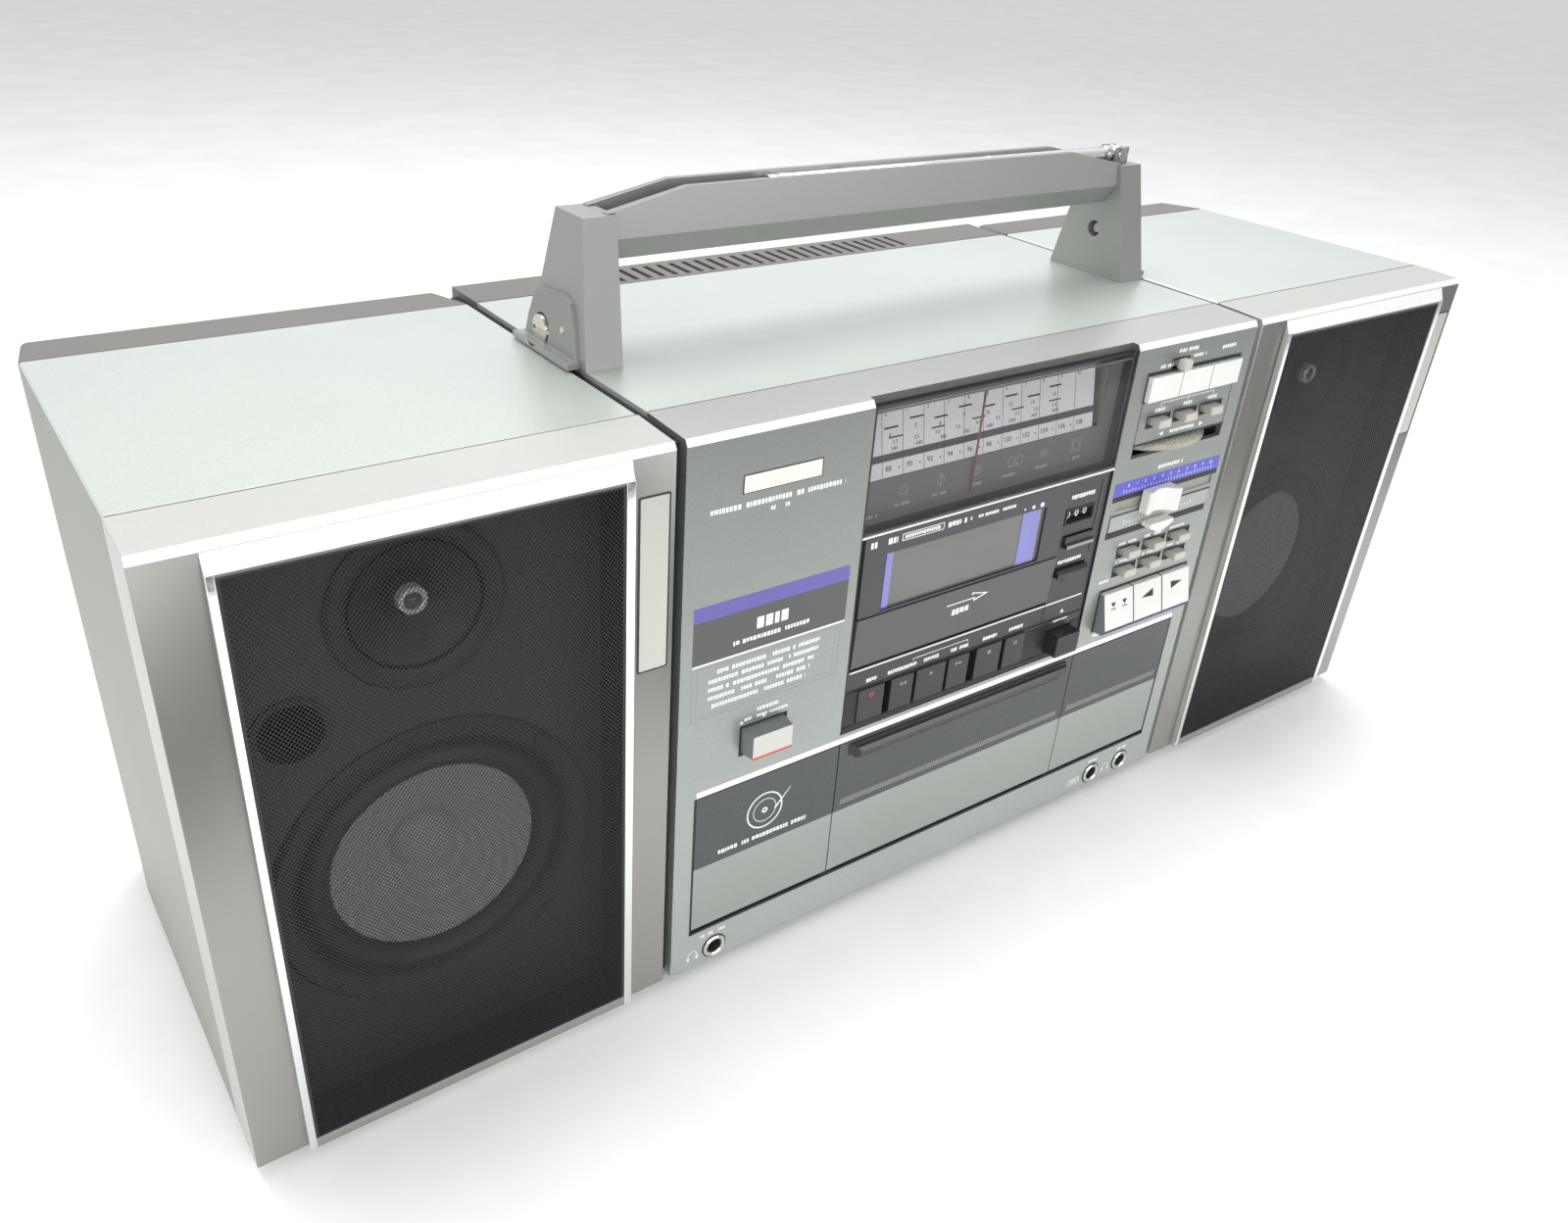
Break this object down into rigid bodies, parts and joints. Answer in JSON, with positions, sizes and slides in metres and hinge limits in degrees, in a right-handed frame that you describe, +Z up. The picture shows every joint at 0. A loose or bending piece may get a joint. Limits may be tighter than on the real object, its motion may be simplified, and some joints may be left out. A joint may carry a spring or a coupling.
{
  "type": "portable stereo with cassette deck",
  "caption": "Portable stereo with radio, front-loading cassette deck, slide-out record player, carrying handle with aerial, and detachable speakers.",
  "frame": {"origin": "middle of the footprint, at the level that the feet stand on", "axes": "+X to the right seen from the front, +Y to the rear, +Z up; the front faces -Y"},
  "size_m": [0.69, 0.216, 0.33],
  "materials": {
    "case_plastic": "fine grain moulded, warm brown grey",
    "silver_paint": "satin metallic paint, silver with a green-grey tint",
    "front_silver": "metallic paint, satin",
    "deck_plastic": "smooth dark grey",
    "smoked_window": "clear smoked acrylic",
    "mechanism_metal": "plated sheet steel",
    "board": "solder mask",
    "handle_plastic": "satin metallic grey paint",
    "screw_metal": "nickel plate",
    "button_white": "smooth",
    "lever_metal": "satin, beige silver",
    "knob_silver": "metallic, silver",
    "key_black": "satin black",
    "pointer_red": "smooth",
    "hub_white": "smooth",
    "drawer_plastic": "fine grain moulded",
    "platter_rubber": "ribbed mat",
    "arm_metal": "satin",
    "aerial_chrome": "polished",
    "grille_metal": "punched sheet, satin black",
    "rail_paint": "metallic paint, warm grey",
    "cone_paper": "pressed paper",
    "tweeter_black": "satin black"
  },
  "bodies": {
    "center_unit": {"rear_case": "case_plastic", "top_cover": "silver_paint", "front_panel": "front_silver", "deck_panel": "deck_plastic", "dial_window": "smoked_window", "tape_mechanism": "mechanism_metal", "main_board": "board", "handle_grip": "handle_plastic", "handle_posts": "handle_plastic", "handle_screws": "screw_metal", "jack_sockets": "screw_metal"},
    "power_button": {"power_button": "knob_silver"},
    "timer_switch": {"timer_switch": "lever_metal"},
    "function_button_1": {"function_button_1": "button_white"},
    "function_button_2": {"function_button_2": "button_white"},
    "function_button_3": {"function_button_3": "button_white"},
    "band_switch_1": {"band_switch_1": "lever_metal"},
    "band_switch_2": {"band_switch_2": "lever_metal"},
    "band_switch_3": {"band_switch_3": "lever_metal"},
    "tuning_knob": {"tuning_knob": "knob_silver"},
    "dial_pointer": {"dial_pointer": "pointer_red"},
    "volume_slider": {"volume_slider": "knob_silver"},
    "balance_slider": {"balance_slider": "knob_silver"},
    "tone_switch_1": {"tone_switch_1": "lever_metal"},
    "tone_switch_2": {"tone_switch_2": "lever_metal"},
    "tone_switch_3": {"tone_switch_3": "lever_metal"},
    "tone_switch_4": {"tone_switch_4": "lever_metal"},
    "tone_switch_5": {"tone_switch_5": "lever_metal"},
    "tone_switch_6": {"tone_switch_6": "lever_metal"},
    "turntable_button_1": {"turntable_button_1": "button_white"},
    "turntable_button_2": {"turntable_button_2": "button_white"},
    "turntable_button_3": {"turntable_button_3": "button_white"},
    "key_record": {"key_record": "key_black"},
    "key_rewind": {"key_rewind": "key_black"},
    "key_play": {"key_play": "key_black"},
    "key_forward": {"key_forward": "key_black"},
    "key_stop": {"key_stop": "key_black"},
    "key_pause": {"key_pause": "key_black"},
    "key_eject": {"key_eject": "key_black"},
    "counter_reset_button": {"counter_reset_button": "key_black"},
    "record_mute_button": {"record_mute_button": "key_black"},
    "cassette_door": {"cassette_door": "deck_plastic"},
    "supply_hub": {"supply_hub": "hub_white"},
    "takeup_hub": {"takeup_hub": "hub_white"},
    "turntable_drawer": {"turntable_drawer": "drawer_plastic", "drawer_front": "front_silver"},
    "platter": {"platter": "platter_rubber"},
    "tonearm_carriage": {"tonearm_carriage": "arm_metal"},
    "antenna_outer": {"antenna_outer": "aerial_chrome"},
    "antenna_inner": {"antenna_inner": "aerial_chrome"},
    "speaker_left": {"speaker_cabinet_left": "silver_paint", "speaker_frame_left": "rail_paint", "speaker_grille_left": "grille_metal", "woofer_left": "cone_paper", "tweeter_left": "tweeter_black"},
    "speaker_right": {"speaker_cabinet_right": "silver_paint", "speaker_frame_right": "rail_paint", "speaker_grille_right": "grille_metal", "woofer_right": "cone_paper", "tweeter_right": "tweeter_black"}
  },
  "joints": [
    {"name": "power_button_press", "type": "slide", "parent": "center_unit", "child": "power_button", "axis": [0, 1, 0], "range_m": [0, 0.004], "stiffness_N_per_m": 300},
    {"name": "timer_switch_slide", "type": "slide", "parent": "center_unit", "child": "timer_switch", "axis": [1, 0, 0], "range_m": [-0.0035, 0.0035]},
    {"name": "function_button_1_press", "type": "slide", "parent": "center_unit", "child": "function_button_1", "axis": [0, 1, 0], "range_m": [0, 0.002], "stiffness_N_per_m": 300},
    {"name": "function_button_2_press", "type": "slide", "parent": "center_unit", "child": "function_button_2", "axis": [0, 1, 0], "range_m": [0, 0.002], "stiffness_N_per_m": 300},
    {"name": "function_button_3_press", "type": "slide", "parent": "center_unit", "child": "function_button_3", "axis": [0, 1, 0], "range_m": [0, 0.002], "stiffness_N_per_m": 300},
    {"name": "band_switch_1_slide", "type": "slide", "parent": "center_unit", "child": "band_switch_1", "axis": [1, 0, 0], "range_m": [-0.0035, 0.0035]},
    {"name": "band_switch_2_slide", "type": "slide", "parent": "center_unit", "child": "band_switch_2", "axis": [1, 0, 0], "range_m": [-0.0035, 0.0035]},
    {"name": "band_switch_3_slide", "type": "slide", "parent": "center_unit", "child": "band_switch_3", "axis": [1, 0, 0], "range_m": [-0.0035, 0.0035]},
    {"name": "tuning_turn", "type": "hinge", "parent": "center_unit", "child": "tuning_knob", "pos_m": [0.1185, -0.0655, 0.211], "axis": [0, 0, 1], "range_deg": [-225, 300]},
    {"name": "pointer_slide", "type": "slide", "parent": "center_unit", "child": "dial_pointer", "axis": [1, 0, 0], "range_m": [-0.048, 0.063]},
    {"name": "volume_slider_slide", "type": "slide", "parent": "center_unit", "child": "volume_slider", "axis": [1, 0, 0], "range_m": [-0.02, 0.037]},
    {"name": "balance_slider_slide", "type": "slide", "parent": "center_unit", "child": "balance_slider", "axis": [1, 0, 0], "range_m": [-0.024, 0.034]},
    {"name": "tone_switch_1_slide", "type": "slide", "parent": "center_unit", "child": "tone_switch_1", "axis": [1, 0, 0], "range_m": [-0.0035, 0.0035]},
    {"name": "tone_switch_2_slide", "type": "slide", "parent": "center_unit", "child": "tone_switch_2", "axis": [1, 0, 0], "range_m": [-0.0035, 0.0035]},
    {"name": "tone_switch_3_slide", "type": "slide", "parent": "center_unit", "child": "tone_switch_3", "axis": [1, 0, 0], "range_m": [-0.0035, 0.0035]},
    {"name": "tone_switch_4_slide", "type": "slide", "parent": "center_unit", "child": "tone_switch_4", "axis": [1, 0, 0], "range_m": [-0.0035, 0.0035]},
    {"name": "tone_switch_5_slide", "type": "slide", "parent": "center_unit", "child": "tone_switch_5", "axis": [1, 0, 0], "range_m": [-0.0035, 0.0035]},
    {"name": "tone_switch_6_slide", "type": "slide", "parent": "center_unit", "child": "tone_switch_6", "axis": [1, 0, 0], "range_m": [-0.0035, 0.0035]},
    {"name": "turntable_button_1_press", "type": "slide", "parent": "center_unit", "child": "turntable_button_1", "axis": [0, 1, 0], "range_m": [0, 0.002], "stiffness_N_per_m": 300},
    {"name": "turntable_button_2_press", "type": "slide", "parent": "center_unit", "child": "turntable_button_2", "axis": [0, 1, 0], "range_m": [0, 0.002], "stiffness_N_per_m": 300},
    {"name": "turntable_button_3_press", "type": "slide", "parent": "center_unit", "child": "turntable_button_3", "axis": [0, 1, 0], "range_m": [0, 0.002], "stiffness_N_per_m": 300},
    {"name": "key_record_press", "type": "slide", "parent": "center_unit", "child": "key_record", "axis": [0, 1, 0], "range_m": [0, 0.003], "stiffness_N_per_m": 300},
    {"name": "key_rewind_press", "type": "slide", "parent": "center_unit", "child": "key_rewind", "axis": [0, 1, 0], "range_m": [0, 0.003], "stiffness_N_per_m": 300},
    {"name": "key_play_press", "type": "slide", "parent": "center_unit", "child": "key_play", "axis": [0, 1, 0], "range_m": [0, 0.003], "stiffness_N_per_m": 300},
    {"name": "key_forward_press", "type": "slide", "parent": "center_unit", "child": "key_forward", "axis": [0, 1, 0], "range_m": [0, 0.003], "stiffness_N_per_m": 300},
    {"name": "key_stop_press", "type": "slide", "parent": "center_unit", "child": "key_stop", "axis": [0, 1, 0], "range_m": [0, 0.003], "stiffness_N_per_m": 300},
    {"name": "key_pause_press", "type": "slide", "parent": "center_unit", "child": "key_pause", "axis": [0, 1, 0], "range_m": [0, 0.003], "stiffness_N_per_m": 300},
    {"name": "key_eject_press", "type": "slide", "parent": "center_unit", "child": "key_eject", "axis": [0, 1, 0], "range_m": [0, 0.004], "stiffness_N_per_m": 300},
    {"name": "counter_reset_button_press", "type": "slide", "parent": "center_unit", "child": "counter_reset_button", "axis": [0, 1, 0], "range_m": [0, 0.0015], "stiffness_N_per_m": 300},
    {"name": "record_mute_button_press", "type": "slide", "parent": "center_unit", "child": "record_mute_button", "axis": [0, 1, 0], "range_m": [0, 0.002], "stiffness_N_per_m": 300},
    {"name": "cassette_door_hinge", "type": "hinge", "parent": "center_unit", "child": "cassette_door", "pos_m": [-0.0138, -0.0967, 0.1417], "axis": [1, 0, 0], "range_deg": [0, 35]},
    {"name": "supply_hub_turn", "type": "hinge", "parent": "center_unit", "child": "supply_hub", "pos_m": [-0.03585, -0.074, 0.176], "axis": [0, 1, 0], "continuous": true},
    {"name": "takeup_hub_turn", "type": "hinge", "parent": "center_unit", "child": "takeup_hub", "pos_m": [0.00665, -0.074, 0.176], "axis": [0, 1, 0], "continuous": true},
    {"name": "drawer_slide", "type": "slide", "parent": "center_unit", "child": "turntable_drawer", "axis": [0, -1, 0], "range_m": [0, 0.15]},
    {"name": "platter_turn", "type": "hinge", "parent": "turntable_drawer", "child": "platter", "pos_m": [0, 0.057, 0.065], "axis": [0, 0, 1], "continuous": true},
    {"name": "tonearm_slide", "type": "slide", "parent": "turntable_drawer", "child": "tonearm_carriage", "axis": [-1, 0, 0], "range_m": [0, 0.087]},
    {"name": "antenna_swing", "type": "hinge", "parent": "center_unit", "child": "antenna_outer", "pos_m": [0.15, -0.0035, 0.326], "axis": [0, 1, 0], "range_deg": [0, 90]},
    {"name": "antenna_extend", "type": "slide", "parent": "antenna_outer", "child": "antenna_inner", "axis": [-1, 0, 0], "range_m": [0, 0.148]},
    {"name": "speaker_left_release", "type": "slide", "parent": "center_unit", "child": "speaker_left", "axis": [-1, 0, 0], "range_m": [0, 0.06]},
    {"name": "speaker_right_release", "type": "slide", "parent": "center_unit", "child": "speaker_right", "axis": [1, 0, 0], "range_m": [0, 0.06]}
  ],
  "couplings": [
    {"joint": "pointer_slide", "follows": "tuning_turn", "m_per_rad": 0.012}
  ]
}
